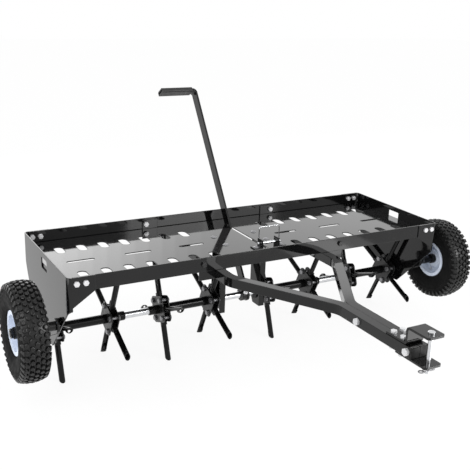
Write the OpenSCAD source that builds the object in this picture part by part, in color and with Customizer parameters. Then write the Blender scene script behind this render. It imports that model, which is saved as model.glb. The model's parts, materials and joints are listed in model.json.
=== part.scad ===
// Tow behind plug aerator with a shallow weight tray, lift lever and transport wheels.
// Modules draw in the machine's own frame: X across, -Y towards the towing vehicle,
// Z = 0 at the tray's top edge. The last lines shift it so that Z = 0 is the ground.

/* [Tray] */
// Width over the end plates
tray_w = 1160; // [1000:10:1400]
// Depth over the front and rear flanges
tray_d = 394; // [360:2:460]
// Drop from the tray's top edge to the deck
deck_drop = 33; // [30:1:45]
// Sheet of end plates, rails, hangers and brackets
sheet_t = 3; // [2:0.5:4]
// Height of the deck's turned-down ends
deck_lip = 18; // [12:1:24]
// Sheet of the deck
deck_t = 2.5; // [2:0.5:4]
// Width of the rails' foot under the deck
rail_foot = 24; // [18:1:30]
// Outside radius of the folded corners
bend_r = 12; // [8:1:16]
// Width of the end plates' flanges over the rails
flange_w = 70; // [60:1:90]
// Height of the tapered front flange below the tray top
flange_drop = 86; // [70:1:100]

/* [End plates] */
// Depth at which the rear edge starts to curve
edge_start = 43; // [36:1:60]
// Height of the lowest corner below the tray top
plate_h = 236; // [225:1:250]
// Distance of the lowest corner in front of the shaft
corner_y = 51; // [30:1:70]
// Width of the hand hole
hole_w = 48; // [30:1:70]
// Height of the hand hole
hole_h = 30; // [20:1:36]

/* [Deck holes] */
// Holes in each row on each side
hole_n = 7; // [4:1:7]
// Distance of the first hole from the middle
hole_x0 = 134; // [120:1:150]
// Distance of each row from the middle of the deck
hole_y = 101; // [80:1:120]
// Diameter of the round ends of the holes
hole_d = 24; // [16:1:32]
// Length of the holes
hole_l = 52; // [36:1:58]
// Length of the long slots
slot_l = 76; // [50:1:90]
// Width of the long slots
slot_w = 12; // [8:1:14]

/* [Shaft and gangs] */
// Diameter of the lift shaft
shaft_d = 20; // [18:1:24]
// Height of the shaft above the end plates' lowest corner
shaft_up = 23.5; // [21:0.5:36]
// Outside diameter of the gang tubes
tube_d = 26; // [25:1:32]
// Length of tube past the star where two gangs face each other
tube_over = 38; // [26:1:45]
// Radius to the tine tips
tip_r = 148.5; // [125:0.5:155]
// Outside diameter of a hollow tine
tine_d = 16; // [12:0.5:18]
// Wall of a tine
tine_t = 2.4; // [1.5:0.1:3]
// Length of the closed ring at a tine's tip, on its short side
ring_l = 8; // [5:1:14]
// Slope of the cut at a tine's tip, in degrees
tip_cut = 42; // [25:1:50]
// Radius to the bolts of a star
star_bolt_r = 35; // [32:1:40]
// Radius of the rounded corners of a star plate
star_corner = 13; // [10:1:15]
// Thickness of a star plate
star_plate_t = 3; // [2:0.5:4]
// Turn of the first star of each gang, in degrees
star_turn = 20; // [16:1:28]

/* [Hangers] */
// Width of a hanger across the machine
hanger_w = 18; // [16:1:32]
// Gap between the two hangers
hanger_gap = 116; // [90:2:120]
// Depth of a hanger from front to rear
hanger_d = 56; // [50:1:64]
// Length of hanger below the shaft
hanger_tail = 36; // [30:1:55]

/* [Lever] */
// Distance of the lever from the middle
lever_x = 27; // [22:1:34]
// Width of the lever bar
lever_w = 30; // [26:1:34]
// Thickness of the lever bar
lever_t = 6; // [5:0.5:8]
// Length from the shaft to the top
lever_l = 674; // [560:2:720]
// Lean of the lever to the rear, in degrees
lever_lean = 34; // [26:1:34]
// Length of the grip
grip_l = 104; // [80:1:130]
// Wall of the grip at the bar's edges
grip_wall = 2.5; // [1.5:0.5:5]
// Wall of the grip over the bar's flat sides
grip_pad = 4.5; // [3:0.5:6]
// Height of the lock pin above the deck
lock_up = 13.3; // [11:0.1:20]
// Lean of the lever to the front when it is locked, in degrees
lock_lean = 27; // [26:1:30]
// Diameter of the lock pin
lock_d = 8; // [6:0.5:10]

/* [Wheels] */
// Diameter over the tread
tyre_d = 254; // [230:2:264]
// Width of the tyre
tyre_w = 73; // [66:1:80]
// Height of the tread blocks
lug_h = 5; // [3:0.5:6]
// Tread blocks in each row
lug_n = 26; // [16:2:30]
// Diameter of the rim's seat
rim_d = 101; // [98:0.2:108]
// Length of the wheel arms
arm_l = 137; // [125:1:150]
// Rise of the wheel arms to the front, in degrees
arm_rise = 27.5; // [20:0.5:32]
// Width of the wheel arms
arm_w = 38; // [34:1:44]
// Thickness of the wheel arms
arm_t = 8; // [6:0.5:10]
// Distance of the wheels' middle from the end plates
wheel_out = 88.5; // [80:0.5:95]
// Diameter of the wheel axles
stub_d = 16; // [14:1:18]

/* [Tongue and hitch] */
// Side of the square tongue tubes
tongue_s = 25; // [24:1:32]
// Wall of the tongue tubes
tongue_t = 2; // [1.5:0.5:3]
// Distance of the tubes from the middle under the deck
tongue_x = 168; // [160:1:175]
// Where the rear bend's corner is, in front of the shaft
bend_rear_y = 250; // [235:1:280]
// Where the front bend's corner is, in front of the shaft
bend_front_y = 515; // [490:1:540]
// Bend radius of the tube's centre line
tongue_r = 60; // [45:1:80]
// Length of the tubes in front of the hitch riser
tube_past = 20; // [16:1:36]
// Thickness of the hitch plates
hitch_t = 5; // [4:0.5:8]
// Width of the hitch plates
hitch_w = 47; // [44:1:56]
// Where the upper plate's riser stands, in front of the shaft
riser_y = 751.5; // [700:0.5:790]
// Height of the upper plate's top above the tray's top edge
hitch_top = 3.5; // [0:0.5:30]
// Distance of the hitch pin in front of the riser
pin_out = 49.5; // [44:0.5:85]
// Diameter of the hitch pin
pin_d = 10; // [8:0.5:16]
// Plate in front of the hitch pin
hitch_nose = 18; // [16:1:40]

/* [Hidden] */
$fn = 64;
run_gap = 0.05;
end_gap = 3.2;
face_gap = 0.5;
bolt_d = 8;
bolt_af = 13;
head_h = 5.3;
nut_h = 6.5;
m10_d = 10;
m10_af = 16;
m10_head = 6.4;
m10_nut = 8;
thread_gap = 0.08;
shaft_z = plate_h - shaft_up;
plate_x = tray_w / 2;
plate_in = plate_x - sheet_t;
rail_y = tray_d / 2 - sheet_t;
rail_in = rail_y - sheet_t;
tab_in = rail_in - sheet_t;
deck_z = -deck_drop;
deck_bot = deck_z - deck_t;
rail_bot = deck_bot - sheet_t;
deck_y = tab_in - 1;
deck_span = plate_in;
rail_half = plate_in - bend_r + sheet_t - 1;
hole_pitch = (deck_span - 69 - hole_x0) / (hole_n - 1);
slot_pitch = (deck_span - 95 - 158) / 2;
edge_y = 43;
edge_rise = plate_h + 3 - edge_start;
edge_r = (pow(tray_d / 2 + edge_y, 2) + pow(edge_rise, 2)) / 2 / edge_rise;
edge_c = [-edge_y, edge_r - plate_h - 3];
corner_z = -plate_h;
diag_k = (plate_h - flange_drop) / (tray_d / 2 - corner_y);
arm_x = plate_x + sheet_t + 1;
arm_out = arm_x + arm_t;
hanger_in = hanger_gap / 2;
hanger_out = hanger_in + hanger_w;
hanger_bolt_y = hanger_d / 2 + 9;
tine_r = tine_d / 2;
star_half = tine_r + star_plate_t;
star_inner = hanger_out + end_gap + star_half + head_h;
star_outer = plate_in - end_gap - star_half - head_h;
star_pitch = (star_outer - star_inner) / 3;
tube_inner = hanger_out + 2;
tube_outer = plate_in - 4;
second_turn = star_turn + 45;
bush_d = shaft_d + 8;
slot_half = lever_t / 2 + 1.5;
slot_rear = (shaft_z - deck_drop) * tan(lever_lean) + lever_w / 2 / cos(lever_lean) + face_gap;
slot_front = (shaft_z - deck_drop) * tan(lock_lean) + lever_w / 2 / cos(lock_lean) + 2;
lock_r = (shaft_z - deck_drop + lock_up) / cos(lock_lean);
lock_y = -lock_r * sin(lock_lean);
lock_z = -shaft_z + lock_r * cos(lock_lean);
ear_x = lever_x - 15;
ear_x2 = lever_x + 36;
tab_x = tongue_x + tongue_s / 2;
tab_w = 48;
tab_bolt_x = tab_x + 37;
tongue_z = rail_bot - tongue_s;
tongue_mid = rail_bot - tongue_s / 2;
front_x = tongue_s / 2;
bend_a = atan((tongue_x - front_x) / (bend_front_y - bend_rear_y));
bend_cut = tongue_r * tan(bend_a / 2);
bend_n = 8;
tongue_rear = rail_in - sheet_t - 6;
hitch_low = tongue_z - hitch_t;
flange_z = rail_bot + hitch_t;
flange_rear = riser_y - 62;
bolt_rear = riser_y - 49;
bolt_front = riser_y - 18;
tongue_end = riser_y + tube_past;
pin_y = riser_y + pin_out;
hitch_front = pin_y + hitch_nose;
clip_z = hitch_low - 10;
wheel_x = plate_x + wheel_out;
tyre_r = tyre_d / 2;
rim_r = rim_d / 2;
tyre_ring = tyre_r - tyre_w / 2 - 1.5;
bead_half = 24;
hub_half = 26;
grip_r = 5;
grip_w = lever_w + 2 * grip_wall;
grip_t = lever_t + 2 * grip_pad;
grip_top = lever_l - lever_t / 2 + grip_t / 2 - grip_r;
y_rear = (grip_w / 2 - grip_r) * cos(lever_lean) + grip_top * sin(lever_lean) + grip_r;
z_low = shaft_z + max([for (a = [star_turn, 45 - star_turn]) tip_r * cos(a) - tine_r * sin(a)]);
y_shift = (hitch_front - y_rear) / 2;
z_shift = z_low;

// Helpers

// A profile drawn with (Y, Z) and given a thickness from x0 to x1
module along_x(x0, x1)
{
    translate([x0, 0, 0])
        rotate([90, 0, 90])
            linear_extrude(x1 - x0)
                children();
}

// A profile drawn with (X, Z) and given a thickness from y0 to y1
module along_y(y0, y1)
{
    translate([0, y1, 0])
        rotate([90, 0, 0])
            linear_extrude(y1 - y0)
                children();
}

// A profile drawn with (X, Y) and given a thickness from z0 to z1
module along_z(z0, z1)
{
    translate([0, 0, z0])
        linear_extrude(z1 - z0)
            children();
}

module obround(l, d)
{
    square([l - d, d], center = true);
    translate([-(l - d) / 2, 0])
        circle(d = d);
    translate([(l - d) / 2, 0])
        circle(d = d);
}

module rounded_square(w, h, r)
{
    square([w - 2 * r, h], center = true);
    square([w, h - 2 * r], center = true);
    for (a = [-1, 1], b = [-1, 1])
        translate([a * (w / 2 - r), b * (h / 2 - r)])
            circle(r = r);
}

// A hexagon of a given width across its flats
module hexagon(af)
{
    circle(d = af / cos(30), $fn = 6);
}

// A bolt along Z with its head above z = 0 and its nut below the grip
module bolt_and_nut(grip, d = bolt_d, af = bolt_af, hh = head_h, nh = nut_h)
{
    along_z(0, hh)
        hexagon(af);
    along_z(-grip - nh - 1.5, 0)
        circle(d = d);
    along_z(-grip - nh, -grip)
        difference() {
            hexagon(af);
            circle(d = d + 2 * thread_gap);
        }
}

// A bolt along Z with a low domed head
module domed_bolt(grip)
{
    rotate_extrude()
        intersection() {
            translate([0, -7.5])
                circle(r = 12);
            square([9, 5]);
        }
    along_z(-grip - nut_h - 1.5, 0)
        circle(d = bolt_d);
    along_z(-grip - nut_h, -grip)
        difference() {
            hexagon(bolt_af);
            circle(d = bolt_d + 2 * thread_gap);
        }
}

module other_side()
{
    mirror([1, 0, 0])
        children();
}

// Tray

module end_plan()
{
    translate([plate_in, bend_r - tray_d / 2])
        square([sheet_t, tray_d - 2 * bend_r]);
    for (s = [-1, 1]) {
        translate([plate_x - bend_r, s * (tray_d / 2 - bend_r)])
            intersection() {
                difference() {
                    circle(r = bend_r);
                    circle(r = bend_r - sheet_t);
                }
                translate([0, s > 0 ? 0 : -bend_r])
                    square([bend_r, bend_r]);
            }
        translate([plate_x - flange_w, s > 0 ? rail_y : -tray_d / 2])
            square([flange_w - bend_r, sheet_t]);
    }
}

module end_side()
{
    past = 5;
    intersection() {
        translate(edge_c)
            circle(r = edge_r, $fn = 128);
        polygon([
            [-tray_d / 2 - past, 1], [tray_d / 2 + past, 1], [tray_d / 2 + past, corner_z - 30],
            [-corner_y + 30 / diag_k, corner_z - 30], [-tray_d / 2 - past, past * diag_k - flange_drop]
        ]);
    }
}

module end_front()
{
    polygon([
        [plate_x + 1, 1], [plate_x + 1, corner_z - 30], [plate_x - bend_r, corner_z - 30],
        [plate_x - bend_r, 8 - flange_drop], [plate_x - flange_w, rail_bot],
        [plate_x - flange_w, 1]
    ]);
}

module corner_bolts()
{
    for (s = [-1, 1], x = [plate_x - 22, plate_x - 45])
        translate([x, s * tray_d / 2, -16])
            rotate([-90 * s, 0, 0])
                children();
}

module mid_bolts()
{
    for (s = [-1, 1], x = [-tab_bolt_x, tab_bolt_x])
        translate([x, s * rail_y, -18])
            rotate([-90 * s, 0, 0])
                children();
}

module end_plate()
{
    difference() {
        intersection() {
            along_z(corner_z - 20, 0)
                end_plan();
            along_x(plate_x - flange_w - 1, plate_x + 1)
                end_side();
            along_y(-tray_d, tray_d)
                end_front();
        }
        along_x(plate_in - 5, plate_x + 5)
            translate([0, -15 - hole_h / 2])
                rounded_square(hole_w, hole_h, 3);
        along_x(plate_in - 5, plate_x + 5)
            translate([0, -shaft_z])
                circle(d = bush_d);
        corner_bolts()
            cylinder(d = bolt_d, h = 40, center = true);
    }
}

module end_plate_right()
{
    color([0.05, 0.05, 0.055])
        end_plate();
}

module end_plate_left()
{
    color([0.05, 0.05, 0.055])
        other_side()
            end_plate();
}

// The front rail; the rear one is its mirror image
module rail()
{
    color([0.06, 0.06, 0.065])
        difference() {
            union() {
                along_y(-rail_y, -rail_in)
                    translate([-rail_half, rail_bot])
                        square([2 * rail_half, -rail_bot]);
                along_z(rail_bot, deck_bot)
                    translate([-rail_half, -rail_y])
                        square([2 * rail_half, rail_foot]);
            }
            for (s = [-1, 1])
                translate([s * (tab_x + tab_w / 2) - tab_w / 2 - 2, -rail_in, rail_bot - 1])
                    cube([tab_w + 4, sheet_t + 0.3, sheet_t + 2]);
            mid_bolts()
                cylinder(d = bolt_d, h = 30, center = true);
            corner_bolts()
                cylinder(d = bolt_d, h = 40, center = true);
            other_side()
                corner_bolts()
                    cylinder(d = bolt_d, h = 40, center = true);
        }
}

module front_rail()
{
    rail();
}

module rear_rail()
{
    mirror([0, 1, 0])
        rail();
}

module hanger_bolt_places()
{
    for (s = [-1, 1], y = [-hanger_bolt_y, hanger_bolt_y])
        translate([s * (hanger_in + hanger_w / 2), y, deck_z])
            children();
}

module ear_bolt_places()
{
    translate([ear_x - 14, lock_y, deck_z])
        children();
    translate([ear_x2 + 14, lock_y, deck_z])
        children();
}

module deck()
{
    color([0.07, 0.07, 0.075])
        difference() {
            union() {
                along_z(deck_bot, deck_z)
                    difference() {
                        square([2 * deck_span, 2 * deck_y], center = true);
                        for (s = [-1, 1], r = [-1, 1], i = [0 : hole_n - 1])
                            translate([s * (hole_x0 + i * hole_pitch), r * hole_y])
                                rotate([0, 0, 90])
                                    obround(hole_l, hole_d);
                        for (s = [-1, 1], i = [0 : 2])
                            translate([s * (158 + i * slot_pitch), 0])
                                obround(slot_l, slot_w);
                        translate([lever_x, (slot_rear - slot_front) / 2])
                            rotate([0, 0, 90])
                                square([slot_rear + slot_front, 2 * slot_half], center = true);
                    }
                for (s = [-1, 1])
                    translate([s * (deck_span - deck_t / 2), 0, deck_z - deck_lip / 2])
                        cube([deck_t, 2 * (rail_y - rail_foot - 2), deck_lip], center = true);
            }
            hanger_bolt_places()
                cylinder(d = bolt_d, h = 20, center = true);
            ear_bolt_places()
                cylinder(d = bolt_d, h = 20, center = true);
        }
}

// Hangers and bushes

module hanger()
{
    top = deck_bot;
    bottom = -shaft_z - hanger_tail;
    heel = -shaft_z - 4;
    half = hanger_d / 2;
    color([0.05, 0.05, 0.055])
        difference() {
            union() {
                along_x(hanger_in, hanger_in + sheet_t)
                    polygon([[-half, top], [half, top], [half, heel], [10, bottom], [-half, bottom]]);
                translate([hanger_in, -half, bottom])
                    cube([hanger_w, sheet_t, top - bottom]);
                translate([hanger_in, half - sheet_t, heel])
                    cube([hanger_w, sheet_t, top - heel]);
                translate([hanger_in, -hanger_bolt_y - 12, top - sheet_t])
                    cube([hanger_w, 2 * hanger_bolt_y + 24, sheet_t]);
            }
            along_x(hanger_in - 5, hanger_in + 10)
                translate([0, -shaft_z])
                    circle(d = bush_d);
            hanger_bolt_places()
                cylinder(d = bolt_d, h = 30, center = true);
        }
}

module hanger_right()
{
    hanger();
}

module hanger_left()
{
    other_side()
        hanger();
}

// A plain bush from x0 to x1 with a collar from c0 to c1
module bush(x0, x1, c0, c1)
{
    difference() {
        union() {
            along_x(x0, x1)
                translate([0, -shaft_z])
                    circle(d = bush_d);
            along_x(c0, c1)
                translate([0, -shaft_z])
                    circle(d = bush_d + 8);
        }
        along_x(x0 - 1, x1 + 1)
            translate([0, -shaft_z])
                circle(d = shaft_d + 2 * run_gap);
    }
}

module shaft_bushes()
{
    color([0.12, 0.12, 0.12]) {
        bush(tube_outer + face_gap, plate_x + sheet_t, plate_x, plate_x + sheet_t);
        bush(hanger_in - 4, tube_inner - face_gap, hanger_in - 4, hanger_in);
        other_side() {
            bush(tube_outer + face_gap, plate_x + sheet_t, plate_x, plate_x + sheet_t);
            bush(hanger_in - 4, tube_inner - face_gap, hanger_in - 4, hanger_in);
        }
    }
}

// Tongue

// One side of a tube seen from above, o outside its centre line, with its ends made e longer
function bend_points(c, r, a0, a1) =
    [for (i = [0 : bend_n]) c + r * [cos(a0 + (a1 - a0) * i / bend_n), sin(a0 + (a1 - a0) * i / bend_n)]];

function tube_edge(o, e) = concat(
    [[tongue_x + o, tongue_rear + e]],
    bend_points([tongue_x - tongue_r, bend_cut - bend_rear_y], tongue_r + o, 0, -bend_a),
    bend_points([front_x + tongue_r, -bend_front_y - bend_cut], tongue_r - o, 180 - bend_a, 180),
    [[front_x + o, -tongue_end - e]]
);

function reversed(list) = [for (i = [len(list) - 1 : -1 : 0]) list[i]];

module tube_plan(half, e)
{
    polygon(concat(tube_edge(half, e), reversed(tube_edge(-half, e))));
}

module tongue_bolt_places()
{
    for (y = [10.5 - tongue_end, -bend_front_y - 77])
        translate([tongue_s, y, tongue_mid])
            rotate([0, 90, 0])
                children();
}

module bracket_bolt_places()
{
    for (s = [-1, 1], r = [-1, 1])
        translate([s * (tab_x + sheet_t), r * (tab_in - 34), tongue_mid])
            rotate([0, 90 * s, 0])
                children();
}

module hitch_bolt_places()
{
    for (s = [-1, 1], y = [-bolt_rear, -bolt_front])
        translate([s * front_x, y, flange_z])
            children();
}

module tongue_tube()
{
    half = tongue_s / 2;
    color([0.06, 0.06, 0.065])
        difference() {
            along_z(tongue_z, rail_bot)
                tube_plan(half, 0);
            along_z(tongue_z + tongue_t, rail_bot - tongue_t)
                tube_plan(half - tongue_t, 1);
            tongue_bolt_places()
                cylinder(d = m10_d, h = 120, center = true);
            bracket_bolt_places()
                cylinder(d = bolt_d, h = 80, center = true);
            hitch_bolt_places()
                cylinder(d = bolt_d, h = 120, center = true);
        }
}

module tongue_tube_right()
{
    tongue_tube();
}

module tongue_tube_left()
{
    other_side()
        tongue_tube();
}

module tube_caps()
{
    plug = tongue_s - 2 * tongue_t - 0.2;
    color([0.1, 0.1, 0.1])
        for (s = [-1, 1]) {
            along_y(-tongue_end - 3, -tongue_end)
                translate([s * front_x, tongue_mid])
                    square(tongue_s - 0.2, center = true);
            along_y(-tongue_end, -tongue_end + 4)
                translate([s * front_x, tongue_mid])
                    square(plug, center = true);
        }
}

// Angle brackets that tie the tubes to the rails
module tongue_bracket()
{
    difference() {
        union() {
            along_y(tab_in, rail_in)
                translate([tab_x, tongue_z])
                    square([tab_w, -tongue_z - 5]);
            along_x(tab_x, tab_x + sheet_t)
                translate([tab_in - 56, tongue_z])
                    square([56, tongue_s]);
        }
        mid_bolts()
            cylinder(d = bolt_d, h = 60, center = true);
        bracket_bolt_places()
            cylinder(d = bolt_d, h = 40, center = true);
    }
}

module tongue_brackets()
{
    color([0.06, 0.06, 0.065])
        for (a = [0, 1], b = [0, 1])
            mirror([a, 0, 0])
                mirror([0, b, 0])
                    tongue_bracket();
}

module tongue_bolts()
{
    color([0.75, 0.76, 0.78]) {
        tongue_bolt_places()
            rotate([180, 0, 0])
                translate([0, 0, 2 * tongue_s])
                    bolt_and_nut(2 * tongue_s, m10_d, m10_af, m10_head, m10_nut);
        bracket_bolt_places()
            bolt_and_nut(tongue_s + sheet_t);
    }
}

// Hitch

module hitch_side()
{
    bend = 7;
    square_y = -riser_y;
    translate([square_y + bend - hitch_t, rail_bot])
        square([riser_y - flange_rear - bend + hitch_t, hitch_t]);
    translate([square_y - hitch_t, flange_z + bend - hitch_t])
        square([hitch_t, hitch_top - 2 * bend - rail_bot]);
    translate([square_y + bend - hitch_t, rail_bot + bend])
        bend_part(bend, 180);
    translate([square_y - bend, hitch_top - bend])
        bend_part(bend, 0);
    translate([-hitch_front, hitch_top - hitch_t])
        square([hitch_front - riser_y - bend, hitch_t]);
}

module bend_part(r, turn)
{
    rotate([0, 0, turn])
        intersection() {
            difference() {
                circle(r = r);
                circle(r = r - hitch_t);
            }
            square([r, r]);
        }
}

module hitch_plan(y0)
{
    cut = 5;
    half = hitch_w / 2;
    polygon([
        [-half, y0], [half, y0], [half, cut - hitch_front], [half - cut, -hitch_front],
        [cut - half, -hitch_front], [-half, cut - hitch_front]
    ]);
}

module pin_place()
{
    translate([0, -pin_y, 0])
        children();
}

module hitch_plate_upper()
{
    color([0.06, 0.06, 0.065])
        difference() {
            intersection() {
                along_x(-hitch_w / 2, hitch_w / 2)
                    hitch_side();
                along_z(rail_bot - 1, hitch_top + 1)
                    hitch_plan(-flange_rear + 1);
            }
            pin_place()
                cylinder(d = pin_d + 2 * run_gap, h = 200, center = true);
            hitch_bolt_places()
                cylinder(d = bolt_d, h = 40, center = true);
        }
}

module hitch_plate_lower()
{
    color([0.06, 0.06, 0.065])
        difference() {
            along_z(hitch_low, tongue_z)
                hitch_plan(-bolt_front + 9);
            pin_place()
                cylinder(d = pin_d + 2 * run_gap, h = 300, center = true);
            hitch_bolt_places()
                cylinder(d = bolt_d, h = 200, center = true);
        }
}

module hitch_bolts()
{
    color([0.75, 0.76, 0.78])
        for (s = [-1, 1]) {
            translate([s * front_x, -bolt_rear, flange_z])
                bolt_and_nut(tongue_s + hitch_t);
            translate([s * front_x, -bolt_front, flange_z])
                bolt_and_nut(tongue_s + 2 * hitch_t);
        }
}

module hitch_pin()
{
    color([0.78, 0.79, 0.8])
        pin_place()
            difference() {
                union() {
                    along_z(clip_z - 9, hitch_top + 1)
                        circle(d = pin_d);
                    translate([0, 0, hitch_top + face_gap])
                        rotate_extrude()
                            intersection() {
                                translate([0, -6])
                                    circle(r = 12.5);
                                square([pin_d / 2 + 3, 7]);
                            }
                }
                translate([0, 0, clip_z])
                    rotate([0, 90, 0])
                        cylinder(d = 3.2, h = 40, center = true);
            }
}

module hitch_clip()
{
    wire = 3;
    loop = 5;
    start = pin_d / 2 + 7;
    leg_y = pin_d / 2 + wire / 2 + 0.6;
    color([0.7, 0.71, 0.73])
        translate([0, -pin_y, clip_z]) {
            rotate([0, 90, 0])
                translate([0, 0, -start])
                    cylinder(d = wire, h = 2 * start + 10);
            translate([0, -leg_y, 0])
                rotate([0, 90, 0])
                    translate([0, 0, -start])
                        cylinder(d = wire, h = 2 * start + 2);
            translate([-start, -leg_y / 2, 0])
                rotate([0, 0, 90])
                    rotate_extrude(angle = 180)
                        translate([leg_y / 2, 0])
                            circle(d = wire);
            translate([-start - leg_y / 2 - loop, -leg_y / 2, 0])
                rotate_extrude()
                    translate([loop, 0])
                        circle(d = wire);
        }
}

// Fasteners of the tray

module rail_bolts()
{
    color([0.78, 0.79, 0.8]) {
        corner_bolts()
            bolt_and_nut(2 * sheet_t);
        other_side()
            corner_bolts()
                bolt_and_nut(2 * sheet_t);
        mid_bolts()
            bolt_and_nut(2 * sheet_t);
    }
}

module deck_bolts()
{
    color([0.35, 0.35, 0.36]) {
        hanger_bolt_places()
            domed_bolt(deck_t + sheet_t);
        translate([0, 0, sheet_t])
            ear_bolt_places()
                domed_bolt(deck_t + sheet_t);
    }
}

// Lever lock

module lock_ear()
{
    difference() {
        union() {
            translate([0, lock_y - 14, deck_z])
                cube([sheet_t, 28, lock_z - deck_z + 12]);
            translate([0, lock_y - 14, deck_z])
                cube([26, 28, sheet_t]);
        }
        translate([0, lock_y, lock_z])
            rotate([0, 90, 0])
                cylinder(d = lock_d + 2 * run_gap, h = 20, center = true);
        translate([14, lock_y, deck_z])
            cylinder(d = bolt_d, h = 20, center = true);
    }
}

module lock_ears()
{
    color([0.05, 0.05, 0.055]) {
        translate([ear_x2, 0, 0])
            lock_ear();
        translate([ear_x, 0, 0])
            other_side()
                lock_ear();
    }
}

module lock_pin()
{
    head_x = ear_x2 + sheet_t + face_gap;
    wire = 4;
    rise = 78;
    span = head_x - ear_x + sheet_t + 8;
    bow = 10;
    color([0.78, 0.79, 0.8])
        translate([0, lock_y, lock_z]) {
            along_x(ear_x - sheet_t - 8, head_x + 1)
                circle(d = lock_d);
            along_x(head_x, head_x + 8)
                circle(d = lock_d + 2.5);
            translate([head_x + 4, 0, 0])
                cylinder(d = wire, h = rise - bow);
            translate([head_x + 4 - bow, 0, rise - bow])
                rotate([90, 0, 0])
                    rotate_extrude(angle = 90)
                        translate([bow, 0])
                            circle(d = wire);
            along_x(head_x + 4 - span + bow, head_x + 4 - bow)
                translate([0, rise])
                    circle(d = wire);
            translate([head_x + 4 - span + bow, 0, rise - bow])
                rotate([90, 0, 0])
                    rotate([0, 0, 90])
                        rotate_extrude(angle = 90)
                            translate([bow, 0])
                                circle(d = wire);
            translate([head_x + 4 - span, 0, 17])
                cylinder(d = wire, h = rise - bow - 17);
        }
}

// Lift shaft, lever and wheel arms

module at_shaft()
{
    translate([0, 0, -shaft_z])
        children();
}

module lift_shaft()
{
    color([0.8, 0.81, 0.83])
        at_shaft()
            along_x(-arm_out - m10_nut - 2, arm_out + m10_nut + 2)
                circle(d = shaft_d);
}

// Retaining rings that keep the gangs in place along the shaft
module shaft_rings()
{
    color([0.6, 0.61, 0.63])
        at_shaft()
            for (x = [
                star_inner + star_pitch + tube_over + face_gap,
                star_outer - star_pitch - tube_over - face_gap - 2
            ]) {
                shaft_ring(x);
                other_side()
                    shaft_ring(x);
            }
}

module shaft_ring(x)
{
    along_x(x, x + 2)
        difference() {
            circle(d = shaft_d + 5);
            circle(d = shaft_d);
        }
}

module lever_turn()
{
    at_shaft()
        rotate([-lever_lean, 0, 0])
            children();
}

module lever_bar()
{
    bow = 14;
    color([0.06, 0.06, 0.065])
        lever_turn() {
            difference() {
                along_x(lever_x - lever_t / 2, lever_x + lever_t / 2) {
                    circle(r = 21);
                    translate([-lever_w / 2, 0])
                        square([lever_w, lever_l - bow]);
                }
                along_x(lever_x - 10, lever_x + 10) {
                    circle(d = shaft_d);
                    translate([0, lock_r])
                        circle(d = lock_d + 1);
                }
            }
            along_y(-lever_w / 2, lever_w / 2)
                translate([lever_x + lever_t / 2 - bow, lever_l - bow])
                    intersection() {
                        difference() {
                            circle(r = bow);
                            circle(r = bow - lever_t);
                        }
                        square([bow, bow]);
                    }
            along_y(-lever_w / 2, lever_w / 2)
                translate([lever_x + lever_t / 2 - bow - grip_l + 6, lever_l - lever_t])
                    square([grip_l - 6, lever_t]);
        }
}

module lever_grip()
{
    grip_x = lever_x + lever_t / 2 - 16;
    color([0.03, 0.03, 0.032])
        lever_turn()
            along_x(grip_x - grip_l, grip_x)
                translate([0, lever_l - lever_t / 2])
                    difference() {
                        rounded_square(grip_w, grip_t, grip_r);
                        translate([-lever_w / 2, -lever_t / 2])
                            square([lever_w, lever_t]);
                    }
}

module lever_collar()
{
    color([0.06, 0.06, 0.065])
        lever_turn()
            difference() {
                along_x(lever_x - lever_t / 2 - 16, lever_x - lever_t / 2)
                    difference() {
                        circle(r = 19);
                        circle(d = shaft_d);
                    }
                translate([lever_x - lever_t / 2 - 8, 0, 0])
                    rotate([90, 0, 0])
                        cylinder(d = bolt_d, h = 40);
            }
}

module lever_bolt()
{
    color([0.75, 0.76, 0.78])
        lever_turn()
            translate([lever_x - lever_t / 2 - 8, -20.5, 0])
                rotate([90, 0, 0]) {
                    along_z(0, head_h)
                        hexagon(bolt_af);
                    along_z(-9.5, 0)
                        circle(d = bolt_d);
                }
}

module arm_turn()
{
    at_shaft()
        rotate([-arm_rise, 0, 0])
            children();
}

module wheel_arm()
{
    color([0.05, 0.05, 0.055])
        arm_turn()
            along_x(arm_x, arm_out)
                difference() {
                    union() {
                        translate([-arm_l, -arm_w / 2])
                            square([arm_l, arm_w]);
                        circle(d = arm_w);
                        translate([-arm_l, 0])
                            circle(d = arm_w);
                    }
                    circle(d = shaft_d);
                    translate([-arm_l, 0])
                        circle(d = stub_d);
                    translate([-arm_l * 0.48, 0])
                        circle(d = m10_d);
                }
}

module wheel_arm_right()
{
    wheel_arm();
}

module wheel_arm_left()
{
    other_side()
        wheel_arm();
}

module at_wheel()
{
    arm_turn()
        translate([0, -arm_l, 0])
            children();
}

module stub_axle()
{
    color([0.75, 0.76, 0.78])
        at_wheel() {
            along_x(arm_x, wheel_x + hub_half + 9.5)
                circle(d = stub_d);
            along_x(arm_out, wheel_x - hub_half - face_gap)
                circle(d = stub_d + 8);
        }
}

module stub_axle_right()
{
    stub_axle();
}

module stub_axle_left()
{
    other_side()
        stub_axle();
}

module arm_bolt()
{
    arm_turn()
        translate([arm_out, -arm_l * 0.48, 0])
            rotate([0, 90, 0]) {
                along_z(0, m10_head)
                    hexagon(m10_af);
                along_z(-arm_t, 0)
                    circle(d = m10_d);
            }
}

module arm_bolts()
{
    color([0.75, 0.76, 0.78]) {
        arm_bolt();
        other_side()
            arm_bolt();
    }
}

module nut_ring(af, d)
{
    difference() {
        hexagon(af);
        circle(d = d + 2 * thread_gap);
    }
}

module lift_nut_pair()
{
    at_shaft()
        along_x(arm_out, arm_out + m10_nut)
            nut_ring(shaft_d + 10, shaft_d);
    at_wheel()
        along_x(wheel_x + hub_half + face_gap, wheel_x + hub_half + 8)
            nut_ring(stub_d + 8, stub_d);
}

module lift_nuts()
{
    color([0.75, 0.76, 0.78]) {
        lift_nut_pair();
        other_side()
            lift_nut_pair();
    }
}

// Wheels, drawn about the axis with the middle plane at x = 0

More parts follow.
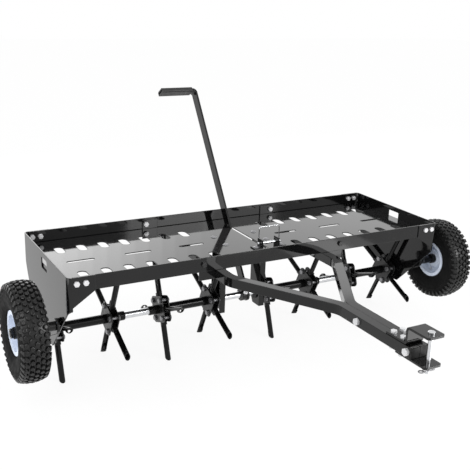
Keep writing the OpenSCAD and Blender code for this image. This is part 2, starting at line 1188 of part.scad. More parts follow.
module spin_x()
{
    rotate([0, 90, 0])
        children();
}

module tread_band()
{
    spin_x()
        rotate_extrude($fn = 96)
            intersection() {
                difference() {
                    translate([tyre_ring, 0])
                        circle(r = tyre_r - tyre_ring);
                    translate([tyre_ring, 0])
                        circle(r = tyre_r - tyre_ring - lug_h - 1);
                }
                translate([tyre_ring + 8, -tyre_w / 2])
                    square([60, tyre_w]);
            }
}

module tread_lugs()
{
    lug_len = tyre_w / 2 + 2;
    lug_w = PI * tyre_d / lug_n * 0.56;
    for (i = [0 : lug_n - 1], s = [-1, 1])
        rotate([(i + (s > 0 ? 0 : 0.5)) * 360 / lug_n, 0, 0])
            translate([s * (tyre_w / 4 - 1), 0, tyre_ring + 8])
                rotate([0, 0, s * 28])
                    translate([-lug_len / 2, -lug_w / 2, 0])
                        cube([lug_len, lug_w, 50]);
}

module tyre()
{
    wall = 6;
    body = tyre_r - tyre_ring - lug_h;
    color([0.03, 0.03, 0.03]) {
        spin_x()
            rotate_extrude($fn = 96)
                difference() {
                    union() {
                        translate([tyre_ring, 0])
                            circle(r = body);
                        translate([rim_r, -bead_half])
                            square([tyre_ring - rim_r, 2 * bead_half]);
                    }
                    translate([tyre_ring, 0])
                        circle(r = body - wall);
                    translate([0, -bead_half + wall])
                        square([tyre_ring, 2 * (bead_half - wall)]);
                }
        intersection() {
            tread_band();
            tread_lugs();
        }
    }
}

// The half of the rim towards +X
module rim_half()
{
    seat = rim_r - run_gap;
    in = rim_r - 4;
    color([0.62, 0.69, 0.78])
        difference() {
            spin_x()
                rotate_extrude($fn = 96)
                    mirror([0, 1])
                        polygon([
                            [15, 12.5], [24.9, 12.5], [rim_r - 13, 2.5], [in, 2.5], [in, bead_half + 3],
                            [rim_r + 6, bead_half + 3], [rim_r + 6, bead_half], [seat, bead_half],
                            [seat, 0], [rim_r - 13.9, 0], [24, 10], [15, 10]
                        ]);
            rim_bolt_places()
                cylinder(d = 5, h = 40, center = true);
        }
}

module rim_bolt_places()
{
    for (a = [45 : 90 : 315])
        rotate([a, 0, 0])
            translate([2.5, 0, rim_r - 8.6])
                rotate([0, 90, 0])
                    children();
}

module rim_bolts()
{
    color([0.78, 0.79, 0.8])
        rim_bolt_places()
            bolt_and_nut(5, 5, 8, 3, 3.5);
}

module hub()
{
    color([0.06, 0.06, 0.065])
        difference() {
            union() {
                along_x(-hub_half, hub_half)
                    circle(r = 15);
                along_x(-10, 10)
                    circle(r = 20);
            }
            along_x(-hub_half - 1, hub_half + 1)
                circle(d = stub_d + 2 * run_gap);
        }
}

module right_wheel()
{
    at_wheel()
        translate([wheel_x, 0, 0])
            children();
}

module left_wheel()
{
    at_wheel()
        translate([-wheel_x, 0, 0])
            children();
}

// Gangs of hollow tines

module star_places(first, last)
{
    translate([first, 0, 0])
        rotate([-star_turn, 0, 0])
            children(0);
    translate([last, 0, 0])
        rotate([-second_turn, 0, 0])
            children(1);
}

module star_plate_shape()
{
    rotate([0, 0, 45])
        difference() {
            rounded_square(
                (star_bolt_r * cos(45) + star_corner) * 2,
                (star_bolt_r * cos(45) + star_corner) * 2,
                star_corner
            );
            circle(d = tube_d);
            for (a = [45 : 90 : 315])
                rotate([0, 0, a])
                    translate([star_bolt_r, 0])
                        circle(d = bolt_d);
        }
}

module star_plates()
{
    for (s = [-1, 1])
        rotate([45, 0, 0])
            along_x(s > 0 ? tine_r : -tine_r - star_plate_t, s > 0 ? tine_r + star_plate_t : -tine_r)
                star_plate_shape();
}

// One hollow tine along +Z, open on its +Y side
module tine()
{
    root = tube_d / 2 + 1;
    throat = star_bolt_r + star_corner + 4;
    short = tip_r - tine_d * tan(tip_cut);
    difference() {
        union() {
            along_z(root, tip_r)
                circle(r = tine_r);
            translate([-tine_r, -tine_r, root])
                cube([tine_d, tine_r - 3, throat - root - 6]);
        }
        along_z(throat - 4, tip_r + 1)
            circle(r = tine_r - tine_t);
        translate([-tine_r - 1, 1, throat])
            cube([tine_d + 2, tine_d, short - ring_l - throat]);
        translate([-tine_r - 1, tine_r, short])
            rotate([-tip_cut, 0, 0])
                translate([0, -60, 0])
                    cube([tine_d + 2, 60, 60]);
    }
}

module star_tines(side)
{
    for (a = [0 : 90 : 270])
        rotate([a, 0, 0])
            mirror([0, side > 0 ? 0 : 1, 0])
                tine();
}

module star_bolts()
{
    for (a = [45 : 90 : 315])
        rotate([a, 0, 0])
            translate([-star_half, 0, star_bolt_r])
                rotate([0, -90, 0])
                    bolt_and_nut(2 * star_half, bolt_d, bolt_af, head_h, 3.8);
}

module gang_tube(x0, x1)
{
    color([0.05, 0.05, 0.055])
        at_shaft()
            along_x(x0, x1)
                difference() {
                    circle(d = tube_d);
                    circle(d = shaft_d + 2 * run_gap);
                }
}

module gang_plates(first, last)
{
    color([0.12, 0.12, 0.125])
        at_shaft()
            star_places(first, last) {
                star_plates();
                star_plates();
            }
}

module gang_tines(first, last)
{
    color([0.05, 0.05, 0.055])
        at_shaft()
            star_places(first, last) {
                star_tines(-1);
                star_tines(1);
            }
}

module gang_bolts(first, last)
{
    color([0.75, 0.76, 0.78])
        at_shaft()
            star_places(first, last) {
                star_bolts();
                star_bolts();
            }
}

star_2 = star_inner + star_pitch;
star_3 = star_outer - star_pitch;

translate([0, y_shift, z_shift]) {
    deck();
    front_rail();
    rear_rail();
    end_plate_left();
    end_plate_right();
    hanger_left();
    hanger_right();
    shaft_bushes();
    lock_ears();
    tongue_brackets();
    tongue_tube_left();
    tongue_tube_right();
    tube_caps();
    hitch_plate_upper();
    hitch_plate_lower();
    rail_bolts();
    deck_bolts();
    tongue_bolts();
    hitch_bolts();
    lift_shaft();
    shaft_rings();
    lever_bar();
    lever_grip();
    lever_collar();
    lever_bolt();
    wheel_arm_left();
    wheel_arm_right();
    stub_axle_left();
    stub_axle_right();
    arm_bolts();
    lift_nuts();
    left_wheel() tyre();  // tyre_left
    left_wheel() other_side() rim_half();  // rim_outer_left
    left_wheel() rim_half();  // rim_inner_left
    left_wheel() hub();  // hub_left
    left_wheel() other_side() rim_bolts();  // rim_bolts_left
    right_wheel() tyre();  // tyre_right
    right_wheel() rim_half();  // rim_outer_right
    right_wheel() other_side() rim_half();  // rim_inner_right
    right_wheel() hub();  // hub_right
    right_wheel() rim_bolts();  // rim_bolts_right
    gang_tube(-tube_outer, tube_over - star_3);  // gang_1_tube
    gang_plates(-star_outer, -star_3);  // gang_1_plates
    gang_tines(-star_outer, -star_3);  // gang_1_tines
    gang_bolts(-star_outer, -star_3);  // gang_1_bolts
    gang_tube(-tube_over - star_2, -tube_inner);  // gang_2_tube
    gang_plates(-star_2, -star_inner);  // gang_2_plates
    gang_tines(-star_2, -star_inner);  // gang_2_tines
    gang_bolts(-star_2, -star_inner);  // gang_2_bolts
    gang_tube(tube_inner, star_2 + tube_over);  // gang_3_tube
    gang_plates(star_inner, star_2);  // gang_3_plates
    gang_tines(star_inner, star_2);  // gang_3_tines
    gang_bolts(star_inner, star_2);  // gang_3_bolts
    gang_tube(star_3 - tube_over, tube_outer);  // gang_4_tube
    gang_plates(star_3, star_outer);  // gang_4_plates
    gang_tines(star_3, star_outer);  // gang_4_tines
    gang_bolts(star_3, star_outer);  // gang_4_bolts
    lock_pin();
    hitch_pin();
    hitch_clip();
}
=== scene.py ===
import json
import math

import bmesh
import bpy
from mathutils import Matrix, Vector

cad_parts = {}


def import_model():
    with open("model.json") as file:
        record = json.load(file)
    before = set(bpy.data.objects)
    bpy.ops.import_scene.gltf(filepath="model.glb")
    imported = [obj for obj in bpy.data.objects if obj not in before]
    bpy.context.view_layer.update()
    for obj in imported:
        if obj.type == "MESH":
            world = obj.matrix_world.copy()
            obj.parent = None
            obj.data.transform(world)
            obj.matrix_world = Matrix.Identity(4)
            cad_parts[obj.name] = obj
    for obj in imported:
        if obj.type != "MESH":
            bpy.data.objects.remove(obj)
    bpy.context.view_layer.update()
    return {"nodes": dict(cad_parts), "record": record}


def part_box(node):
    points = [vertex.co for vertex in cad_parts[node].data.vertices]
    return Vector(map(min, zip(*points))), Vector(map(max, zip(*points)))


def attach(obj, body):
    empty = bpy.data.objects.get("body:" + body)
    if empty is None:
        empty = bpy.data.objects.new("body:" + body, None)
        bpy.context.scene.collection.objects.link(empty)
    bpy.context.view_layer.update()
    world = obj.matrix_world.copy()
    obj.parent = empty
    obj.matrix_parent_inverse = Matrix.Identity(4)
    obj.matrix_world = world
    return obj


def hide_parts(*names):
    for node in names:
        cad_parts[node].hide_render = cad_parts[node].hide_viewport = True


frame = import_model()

NODES = frame["nodes"]
GANGS = (1, 2, 3, 4)

# Camera solved from the photograph, in the row frame
CAM_PLACE = (-1.0859, -1.653485, 1.024808)
CAM_AZ, CAM_EL, CAM_ROLL = -29.79, 17.95, 2.14
CAM_LENS, CAM_SENSOR, CAM_FAR = 59.45, 36.0, 50.0


def link(obj):
    bpy.context.scene.collection.objects.link(obj)
    return obj


def camera():
    az, el, roll = (math.radians(v) for v in (CAM_AZ, CAM_EL, CAM_ROLL))
    back = Vector((math.sin(az) * math.cos(el), -math.cos(az) * math.cos(el), math.sin(el)))
    level = Vector((math.cos(az), math.sin(az), 0.0))
    upright = back.cross(level)
    right = math.cos(roll) * level + math.sin(roll) * upright
    up = math.cos(roll) * upright - math.sin(roll) * level
    data = bpy.data.cameras.new("photo_camera")
    data.sensor_width = CAM_SENSOR
    data.lens = CAM_LENS
    data.clip_end = CAM_FAR
    obj = link(bpy.data.objects.new("photo_camera", data))
    turn = Matrix((right, up, back)).transposed().to_4x4()
    obj.matrix_world = Matrix.Translation(CAM_PLACE) @ turn
    bpy.context.scene.camera = obj


# Materials

# Part of a noise's range that is spread over a colour or a roughness
NOISE_LOW, NOISE_HIGH = 0.3, 0.7


class Tree:
    """A small helper that builds a node material."""

    def __init__(self, name):
        self.name = name
        self.mat = bpy.data.materials.new(name)
        self.mat.use_nodes = True
        self.nodes = self.mat.node_tree.nodes
        self.links = self.mat.node_tree.links
        self.nodes.clear()
        out = self.nodes.new("ShaderNodeOutputMaterial")
        self.bsdf = self.nodes.new("ShaderNodeBsdfPrincipled")
        self.links.new(self.bsdf.outputs[0], out.inputs[0])
        self.coord = self.nodes.new("ShaderNodeTexCoord").outputs["Object"]

    def put(self, socket, value):
        """Link another node's output to a socket, or write a plain value on it."""
        if isinstance(value, bpy.types.NodeSocket):
            self.links.new(value, socket)
        else:
            socket.default_value = value

    def noise(self, scale, detail=2.0, rough=0.5):
        n = self.nodes.new("ShaderNodeTexNoise")
        n.inputs["Scale"].default_value = scale
        n.inputs["Detail"].default_value = detail
        n.inputs["Roughness"].default_value = rough
        self.links.new(self.coord, n.inputs["Vector"])
        return n.outputs["Fac"]

    def axis(self, letter):
        n = self.nodes.new("ShaderNodeSeparateXYZ")
        self.links.new(self.coord, n.inputs[0])
        return n.outputs[letter]

    def math(self, kind, *values):
        n = self.nodes.new("ShaderNodeMath")
        n.operation = kind
        for socket, value in zip(n.inputs, values):
            self.put(socket, value)
        return n.outputs[0]

    def spread(self, value, out_low, out_high):
        n = self.nodes.new("ShaderNodeMapRange")
        n.inputs["From Min"].default_value = NOISE_LOW
        n.inputs["From Max"].default_value = NOISE_HIGH
        n.inputs["To Min"].default_value = out_low
        n.inputs["To Max"].default_value = out_high
        self.links.new(value, n.inputs["Value"])
        return n.outputs["Result"]

    def ramp(self, value, dark, light, start=NOISE_LOW, end=NOISE_HIGH):
        n = self.nodes.new("ShaderNodeValToRGB")
        stops = n.color_ramp.elements
        stops[0].position = start
        stops[0].color = (*dark, 1.0)
        stops[1].position = end
        stops[1].color = (*light, 1.0)
        self.links.new(value, n.inputs["Fac"])
        return n.outputs["Color"]

    def bump(self, value, strength, distance):
        n = self.nodes.new("ShaderNodeBump")
        n.inputs["Strength"].default_value = strength
        n.inputs["Distance"].default_value = distance
        self.links.new(value, n.inputs["Height"])
        self.links.new(n.outputs["Normal"], self.bsdf.inputs["Normal"])
        return n

    def set(self, **values):
        for key, value in values.items():
            self.put(self.bsdf.inputs[key.replace("_", " ")], value)


def surface(name, cloud, dark, light, gloss, rough, grain, bump, **extra):
    """A finish with a cloudy colour, an uneven gloss and a fine grain."""
    t = Tree(name)
    t.set(Base_Color=t.ramp(t.noise(*cloud), dark, light))
    t.set(Roughness=t.spread(t.noise(*gloss), *rough), **extra)
    t.bump(t.noise(*grain), *bump)
    return t


# Radius at which the black paint's edges are shaded as rounded, in metres
SEEN_EDGE = 0.0022


def coat(name, dark, light, rough, ior):
    """Black paint, faintly blue, whose edges are seen as slightly rounded."""
    t = Tree(name)
    cloud = t.noise(9.0, 4.0, 0.6)
    t.set(Base_Color=t.ramp(cloud, (dark, dark, 1.06 * dark), (light, light, 1.04 * light)))
    t.set(Roughness=t.spread(t.noise(30.0, 3.0), rough, 1.9 * rough), IOR=ior)
    edge = t.nodes.new("ShaderNodeBevel")
    edge.samples = 4
    edge.inputs["Radius"].default_value = SEEN_EDGE
    bump = t.bump(t.noise(320.0, 1.0), 0.12, 0.0001)
    t.links.new(edge.outputs["Normal"], bump.inputs["Normal"])
    return t


# Rail bolts are zinc beyond these distances to the sides and the rear, and black elsewhere, in metres
BRIGHT_X, BRIGHT_Y = 0.45, 0.2


def rail_bolts(name):
    t = Tree(name)
    outer = t.math("GREATER_THAN", t.math("ABSOLUTE", t.axis("X")), BRIGHT_X)
    bright = t.math("MAXIMUM", outer, t.math("GREATER_THAN", t.axis("Y"), BRIGHT_Y))
    t.set(Base_Color=t.ramp(bright, (0.006, 0.006, 0.0062), (0.64, 0.64, 0.65), 0.2, 0.8))
    t.set(Metallic=t.math("MULTIPLY", bright, 0.5))
    t.set(Roughness=t.spread(t.noise(300.0, 2.0), 0.24, 0.38))
    t.bump(t.noise(1200.0, 1.0), 0.08, 0.0002)
    return t


# Kept by the name asked for, because Blender renames a material whose name is already taken
MATERIALS = {t.name: t.mat for t in (
    coat("black_coat", 0.0028, 0.0046, 0.045, 1.4),
    surface("star_coat", IOR=1.42,
            cloud=(40.0, 5.0, 0.65), dark=(0.007, 0.007, 0.0073), light=(0.016, 0.016, 0.0164),
            gloss=(60.0, 3.0), rough=(0.24, 0.38), grain=(700.0, 2.0), bump=(0.15, 0.0004)),
    surface("zinc", Metallic=0.5,
            cloud=(120.0, 4.0, 0.6), dark=(0.56, 0.57, 0.58), light=(0.68, 0.68, 0.69),
            gloss=(300.0, 2.0), rough=(0.28, 0.42), grain=(1500.0, 1.0), bump=(0.08, 0.0002)),
    surface("bright_steel", Metallic=1.0,
            cloud=(60.0, 3.0, 0.6), dark=(0.58, 0.59, 0.61), light=(0.7, 0.71, 0.72),
            gloss=(220.0, 2.0), rough=(0.12, 0.24), grain=(900.0, 1.0), bump=(0.05, 0.0002)),
    surface("tyre_rubber", IOR=1.38,
            cloud=(35.0, 5.0, 0.65), dark=(0.003, 0.003, 0.0031), light=(0.0075, 0.0075, 0.0074),
            gloss=(80.0, 3.0), rough=(0.22, 0.36), grain=(800.0, 2.0), bump=(0.2, 0.0005)),
    surface("rim_paint", IOR=1.5,
            cloud=(25.0, 4.0, 0.6), dark=(0.57, 0.63, 0.75), light=(0.64, 0.7, 0.81),
            gloss=(70.0, 3.0), rough=(0.2, 0.3), grain=(500.0, 1.0), bump=(0.06, 0.0003)),
    surface("black_plastic", IOR=1.3,
            cloud=(30.0, 3.0, 0.6), dark=(0.006, 0.006, 0.006), light=(0.013, 0.013, 0.013),
            gloss=(90.0, 3.0), rough=(0.35, 0.5), grain=(1100.0, 2.0), bump=(0.12, 0.0003)),
    surface("grip_rubber", IOR=1.46,
            cloud=(50.0, 4.0, 0.6), dark=(0.01, 0.01, 0.01), light=(0.022, 0.022, 0.022),
            gloss=(90.0, 3.0), rough=(0.4, 0.55), grain=(900.0, 2.0), bump=(0.2, 0.0004)),
    rail_bolts("rail_bolt_zinc"),
    surface("tyre_wall", IOR=1.16,
            cloud=(35.0, 5.0, 0.65), dark=(0.004, 0.004, 0.0041), light=(0.009, 0.009, 0.0089),
            gloss=(80.0, 3.0), rough=(0.55, 0.75), grain=(900.0, 2.0), bump=(0.2, 0.0004)),
    coat("tine_coat", 0.0022, 0.0042, 0.085, 1.28),
    surface("dull_zinc", Metallic=0.6,
            cloud=(140.0, 4.0, 0.6), dark=(0.2, 0.2, 0.21), light=(0.3, 0.3, 0.31),
            gloss=(300.0, 2.0), rough=(0.22, 0.36), grain=(1500.0, 1.0), bump=(0.08, 0.0002)),
)}

# Where a node's finish in the photo differs from its slot's plain one
FINISH = {"rail_bolts": "rail_bolt_zinc", "deck_bolts": "dull_zinc", "hitch_clip": "dull_zinc"}
for node in ("stub_axle_left", "stub_axle_right", "arm_bolts", "lift_nuts", "shaft_rings"):
    FINISH[node] = "black_coat"
for g in GANGS:
    FINISH["gang_%d_tines" % g] = "tine_coat"
    FINISH["gang_%d_tube" % g] = "tine_coat"
    FINISH["gang_%d_bolts" % g] = "dull_zinc"

# Sheet and tube pieces whose sharp edges are rounded
SHEET = ["deck", "front_rail", "rear_rail", "end_plate_left", "end_plate_right", "hanger_left",
         "hanger_right", "lock_ears", "tongue_brackets", "tongue_tube_left", "tongue_tube_right",
         "hitch_plate_upper", "hitch_plate_lower", "lever_bar", "wheel_arm_left", "wheel_arm_right",
         "tube_caps"]
SHEET += ["gang_%d_plates" % g for g in GANGS]
# Width of the rounding, and the gap between points that are welded before it, in metres
EDGE_ROUND, WELD_GAP = 0.0008, 0.00001
# Least angle of a sharp edge, and greatest angle between faces that count as one
EDGE_SHARP, FACE_FLAT = math.radians(40), math.radians(0.5)


def soften(obj):
    """Round the sharp edges of a sheet piece a little, so that they catch the light."""
    weld = obj.modifiers.new("weld", "WELD")
    weld.merge_threshold = WELD_GAP
    flat = obj.modifiers.new("flat", "DECIMATE")
    flat.decimate_type = "DISSOLVE"
    flat.angle_limit = FACE_FLAT
    edge = obj.modifiers.new("edge", "BEVEL")
    edge.width = EDGE_ROUND
    edge.segments = 2
    edge.limit_method = "ANGLE"
    edge.angle_limit = EDGE_SHARP
    edge.harden_normals = True


def dress():
    for part in frame["record"]["subparts"]:
        node = part["node"]
        slots = NODES[node].data.materials
        slots.clear()
        slots.append(MATERIALS[FINISH.get(node, part["material_slot"])])
    for node in SHEET:
        soften(NODES[node])


# Helpers for the scene's own pieces

def full_turn(steps):
    return [2 * math.pi * k / steps for k in range(steps)]


def around_x(mesh, centre, x, r, angle):
    """A point at x and radius r about an axis along X through the centre."""
    return mesh.verts.new((centre[0] + x, centre[1] + r * math.cos(angle), centre[2] + r * math.sin(angle)))


def skin(mesh, lower, upper, smooth=False):
    """Join two closed rings of points with faces."""
    for i in range(len(lower)):
        j = (i + 1) % len(lower)
        mesh.faces.new((lower[i], lower[j], upper[j], upper[i])).smooth = smooth


def skin_and_cap(mesh, rings, smooth=False):
    """Join a row of rings and close both ends."""
    for lower, upper in zip(rings, rings[1:]):
        skin(mesh, lower, upper, smooth)
    mesh.faces.new(list(reversed(rings[0])))
    mesh.faces.new(rings[-1])


def add_piece(name, mesh, slot, body, node):
    mesh.normal_update()
    bmesh.ops.recalc_face_normals(mesh, faces=mesh.faces)
    data = bpy.data.meshes.new(name)
    mesh.to_mesh(data)
    mesh.free()
    data.materials.append(MATERIALS[slot])
    obj = link(bpy.data.objects.new(name, data))
    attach(obj, body)
    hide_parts(node)
    return obj


# Tyres with small staggered blocks and shoulder lugs instead of the solids' plain tread, in metres

# Blocks around the tyre, rows across it and their spacing
TREAD_N, TREAD_ROWS, ROW_STEP = 42, 5, 0.0122
# Height of a block, and how far its foot goes into the tyre
BLOCK_H, BLOCK_SINK = 0.0055, 0.0006
# Outline of a block across and around the tyre, and the radius that turns the latter into an angle
BLOCK = [(0.0050, -0.0034), (0.0050, 0.0034), (0.0, 0.0071),
         (-0.0050, 0.0034), (-0.0050, -0.0034), (0.0, -0.0071)]
BLOCK_AT = 0.125
# Rings of a block from its top down, as the share of the outline and the depth
BLOCK_RINGS = ((0.62, 0.0), (0.92, 0.0009), (1.06, BLOCK_H + BLOCK_SINK))
# Outline of a lug as x, radius and length around, its middle radius, and the radius for the angle
LUG = [(0.0306, 0.1205, -0.0052), (0.0306, 0.1205, 0.0052), (0.0338, 0.1090, 0.0038),
       (0.0345, 0.1040, 0.0), (0.0338, 0.1090, -0.0038)]
LUG_MID, LUG_AT = 0.1130, 0.115
# Rings of a lug from its foot out, as the height and the share of the outline
LUG_RINGS = ((0.0, 1.06), (0.0022, 0.94), (0.0030, 0.62))
# How far a lug's foot goes into the tyre, and how much radius it gains with its height
LUG_SINK, LUG_LEAN = 0.0008, 0.4
# Radius at the middle of the tread, and how fast it falls to the sides
CROWN_R, CROWN_FALL = 0.127, 5.95
# One half of the tyre's section from the bead to the shoulder, as x and radius
SIDE = [(0.0242, 0.0512), (0.0242, 0.0572), (0.0262, 0.0585), (0.0288, 0.0606), (0.0300, 0.0622),
        (0.0306, 0.0650), (0.0324, 0.0690), (0.0340, 0.0740), (0.0352, 0.0800), (0.0357, 0.0860),
        (0.0357, 0.0920), (0.0353, 0.0962), (0.0358, 0.0970), (0.0356, 0.0988), (0.0350, 0.0996),
        (0.0344, 0.1040), (0.0332, 0.1090), (0.0315, 0.1130)]
# Points of the ground between the blocks, from the shoulder to the middle
GROUND_X = (0.027, 0.018, 0.009)


def crown(x):
    return CROWN_R - CROWN_FALL * x * x


def tyre_block(mesh, centre, row_x, angle):
    rings = []
    for grow, drop in BLOCK_RINGS:
        ring = []
        for u, v in BLOCK:
            x = row_x + u * grow
            ring.append(around_x(mesh, centre, x, crown(x) - drop, angle + v * grow / BLOCK_AT))
        rings.append(ring)
    mesh.faces.new(rings[0])
    skin(mesh, rings[1], rings[0])
    skin(mesh, rings[2], rings[1])


def shoulder_lug(mesh, centre, side, angle):
    rings = []
    for out, grow in LUG_RINGS:
        ring = []
        for x, r, v in LUG:
            lug_x = side * (x - LUG_SINK + out)
            lug_r = LUG_MID + (r - LUG_MID) * grow + LUG_LEAN * out
            ring.append(around_x(mesh, centre, lug_x, lug_r, angle + v * grow / LUG_AT))
        rings.append(ring)
    mesh.faces.new(rings[2])
    skin(mesh, rings[0], rings[1])
    skin(mesh, rings[1], rings[2])


def tyre(side):
    node = "tyre_" + side
    low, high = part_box(node)
    centre = [(low[i] + high[i]) / 2 for i in range(3)]
    mesh = bmesh.new()
    half = SIDE + [(x, crown(x) - BLOCK_H) for x in GROUND_X]
    profile = half + [(0.0, crown(0.0) - BLOCK_H)] + [(-x, r) for x, r in reversed(half)]
    turns = 2 * TREAD_N
    grid = [[around_x(mesh, centre, x, r, a) for x, r in profile] for a in full_turn(turns)]
    strips = len(profile) - 1
    wall = len(SIDE) - 1
    for k in range(turns):
        one, two = grid[k], grid[(k + 1) % turns]
        for i in range(strips):
            face = mesh.faces.new((one[i], one[i + 1], two[i + 1], two[i]))
            face.smooth = True
            face.material_index = int(i < wall or i >= strips - wall)
    step = 2 * math.pi / TREAD_N
    for row in range(TREAD_ROWS):
        row_x = (row - TREAD_ROWS // 2) * ROW_STEP
        for k in range(TREAD_N):
            tyre_block(mesh, centre, row_x, (k + 0.5 * (row % 2)) * step)
    for s in (-1, 1):
        for k in range(TREAD_N):
            shoulder_lug(mesh, centre, s, k * step)
    obj = add_piece("tyre_tread_" + side, mesh, "tyre_rubber", "wheel_" + side, node)
    obj.data.materials.append(MATERIALS["tyre_wall"])


# Lock pin with the thin wire handle of the photo, in metres

# Height of the pin's axis above the solid's lowest point
PIN_AXIS = 0.00525
# Turned pin as length from the tip and radius, then as length before the head's end and radius
PIN_TIP = ((0.0, 0.0022), (0.003, 0.0039))
PIN_HEAD = ((0.009, 0.004), (0.0085, 0.0051), (0.001, 0.0051), (0.0, 0.0043))
PIN_SIDES, WIRE_SIDES = 40, 12
# Wire's radius, the handle's height, and the radius and steps of its corners
WIRE_R, HANDLE_H, BOW, BOW_STEPS = 0.00125, 0.048, 0.006, 6
# Place of the fixed leg before the head's end, and its bulge and the bulge's height
FIXED_LEG, BULGE, BULGE_H = 0.0044, 0.0015, 0.012
# Place of the free leg from the tip, and the height of its end
FREE_LEG, FREE_END = 0.0035, 0.017


def wire(mesh, points):
    """Sweep a round wire along points and close its ends."""
    rings = []
    side = None
    for i, p in enumerate(points):
        ahead = (points[min(i + 1, len(points) - 1)] - points[max(i - 1, 0)]).normalized()
        side = ahead.orthogonal() if side is None else side
        side = (side - ahead * side.dot(ahead)).normalized()
        over = ahead.cross(side)
        rings.append([mesh.verts.new(p + WIRE_R * (math.cos(t) * side + math.sin(t) * over))
                      for t in full_turn(WIRE_SIDES)])
    skin_and_cap(mesh, rings, smooth=True)


def lock_pin():
    low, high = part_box("lock_pin")
    tip, head = low[0], high[0]
    y = (low[1] + high[1]) / 2
    z = low[2] + PIN_AXIS
    mesh = bmesh.new()
    profile = [(tip + x, r) for x, r in PIN_TIP] + [(head - x, r) for x, r in PIN_HEAD]
    skin_and_cap(mesh, [[around_x(mesh, (0.0, y, z), x, r, a) for a in full_turn(PIN_SIDES)]
                        for x, r in profile])
    fixed, free = head - FIXED_LEG, tip + FREE_LEG
    corner = z + HANDLE_H - BOW
    bend = [math.pi / 2 * k / BOW_STEPS for k in range(BOW_STEPS + 1)]
    path = [(fixed, z), (fixed + BULGE, z + BULGE_H), (fixed, corner)]
    path += [(fixed - BOW + BOW * math.cos(a), corner + BOW * math.sin(a)) for a in bend[1:]]
    path += [(free + BOW - BOW * math.sin(a), corner + BOW * math.cos(a)) for a in bend]
    path.append((free, z + FREE_END))
    wire(mesh, [Vector((x, y, up)) for x, up in path])
    add_piece("lock_pin_wire", mesh, "bright_steel", "lock_pin", "lock_pin")


# Stage and lights

# Half width of the floor, its own grey, and the share of plain white that views and reflections see
FLOOR_HALF, FLOOR_GREY, FLOOR_WHITE = 12.0, 0.93, 0.88
# Row of narrow lamps behind the deck: their number, first place, width and height
STRIPS, STRIP_X, STRIP_W, STRIP_H = 17, -0.15, 0.1, 1.3
# Depth and height of that row, the radiance at its left end and how much of it is lost to the right
ROW_Y, ROW_Z, ROW_GLOW, ROW_LOSS = 3.0, 1.35, 3.3, 2.7


def deck_row():
    """Lamps whose radiance falls smoothly from left to right."""
    lamps = []
    for k in range(STRIPS):
        x = STRIP_X + STRIP_W * k
        t = (k + 0.5) / STRIPS
        glow = ROW_GLOW - ROW_LOSS * t * t * (3.0 - 2.0 * t)
        lamps.append(("deck_%02d" % k, (x, ROW_Y, ROW_Z), (x, 0.0, ROW_Z), (STRIP_W, STRIP_H), glow))
    return lamps


# Lamps as name, place, target, size and radiance, where the white world has 1
LAMPS = [
    ("key", (-2.2, -1.6, 2.6), (0, 0, 0.3), (1.6, 1.6), 3.4),
    ("side", (-2.7, -0.3, 0.9), (-0.6, 0.1, 0.25), (1.4, 1.4), 2.6),
    *deck_row(),
    ("deck_far", (2.45, ROW_Y, ROW_Z), (2.45, 0.0, ROW_Z), (1.9, STRIP_H), 0.6),
    ("front", (0.8, -1.65, 1.02), (-0.1, 0.3, 0.35), (0.5, 0.5), 15.0),
    ("front_right", (1.27, -1.6, 1.02), (0.1, 0.3, 0.35), (0.44, 0.5), 8.0),
    ("front_left", (0.1, -1.65, 1.02), (-0.3, 0.3, 0.35), (0.9, 0.5), 1.3),
    ("front_far", (2.0, -1.5, 1.02), (0.3, 0.3, 0.35), (1.0, 0.5), 2.2),
    ("rail_bounce", (0.74, -0.8, 0.004), (0.74, -0.8, 1.0), (0.2, 0.3), 2.2),
    ("rail_glow", (0.76, -0.8, 0.005), (0.76, -0.8, 1.0), (0.4, 0.5), 1.2),
    ("front_bounce", (0.58, -1.12, 0.004), (0.58, -1.12, 1.0), (0.5, 0.5), 3.0),
]


def world():
    w = bpy.data.worlds.new("studio")
    bpy.context.scene.world = w
    w.use_nodes = True
    nodes, links = w.node_tree.nodes, w.node_tree.links
    nodes.clear()
    out = nodes.new("ShaderNodeOutputWorld")
    back = nodes.new("ShaderNodeBackground")
    back.inputs["Color"].default_value = (1.0, 1.0, 1.0, 1.0)
    back.inputs["Strength"].default_value = 1.0
    links.new(back.outputs[0], out.inputs[0])


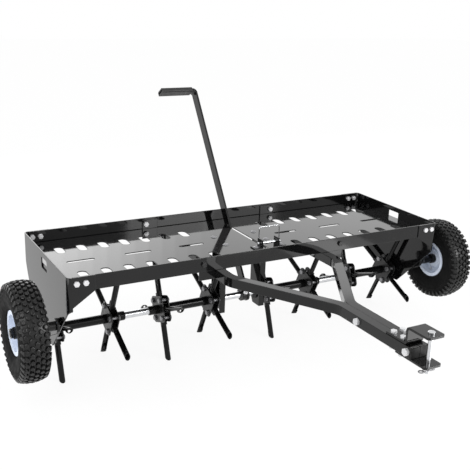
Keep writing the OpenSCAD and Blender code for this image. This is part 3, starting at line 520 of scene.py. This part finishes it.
def floor():
    """Mostly plain white to the camera and in reflections; the rest takes the object's shadow."""
    mesh = bpy.data.meshes.new("floor")
    corners = [(x * FLOOR_HALF, y * FLOOR_HALF, 0) for x, y in ((-1, -1), (1, -1), (1, 1), (-1, 1))]
    mesh.from_pydata(corners, [], [(0, 1, 2, 3)])
    obj = link(bpy.data.objects.new("floor", mesh))
    mat = bpy.data.materials.new("floor")
    mat.use_nodes = True
    nodes, links = mat.node_tree.nodes, mat.node_tree.links
    nodes.clear()
    out = nodes.new("ShaderNodeOutputMaterial")
    white = nodes.new("ShaderNodeEmission")
    white.inputs["Strength"].default_value = 1.0
    plain = nodes.new("ShaderNodeBsdfDiffuse")
    plain.inputs["Color"].default_value = (FLOOR_GREY, FLOOR_GREY, FLOOR_GREY, 1.0)
    mix = nodes.new("ShaderNodeMixShader")
    path = nodes.new("ShaderNodeLightPath")
    seen = nodes.new("ShaderNodeMath")
    seen.operation = "MAXIMUM"
    links.new(path.outputs["Is Camera Ray"], seen.inputs[0])
    links.new(path.outputs["Is Glossy Ray"], seen.inputs[1])
    share = nodes.new("ShaderNodeMath")
    share.operation = "MULTIPLY"
    share.inputs[1].default_value = FLOOR_WHITE
    links.new(seen.outputs[0], share.inputs[0])
    links.new(share.outputs[0], mix.inputs["Fac"])
    links.new(plain.outputs[0], mix.inputs[1])
    links.new(white.outputs[0], mix.inputs[2])
    links.new(mix.outputs[0], out.inputs[0])
    mesh.materials.append(mat)


def area_light(name, place, target, size, glow):
    data = bpy.data.lights.new(name, "AREA")
    data.shape = "RECTANGLE"
    data.size, data.size_y = size
    data.energy = glow * math.pi * size[0] * size[1]
    obj = link(bpy.data.objects.new(name, data))
    obj.location = place
    aim = Vector(target) - Vector(place)
    obj.rotation_mode = "QUATERNION"
    obj.rotation_quaternion = aim.to_track_quat("-Z", "Y")
    obj.visible_camera = False


camera()
dress()
tyre("left")
tyre("right")
lock_pin()
world()
floor()
for lamp in LAMPS:
    area_light(*lamp)
bpy.context.scene.view_settings.view_transform = "Standard"
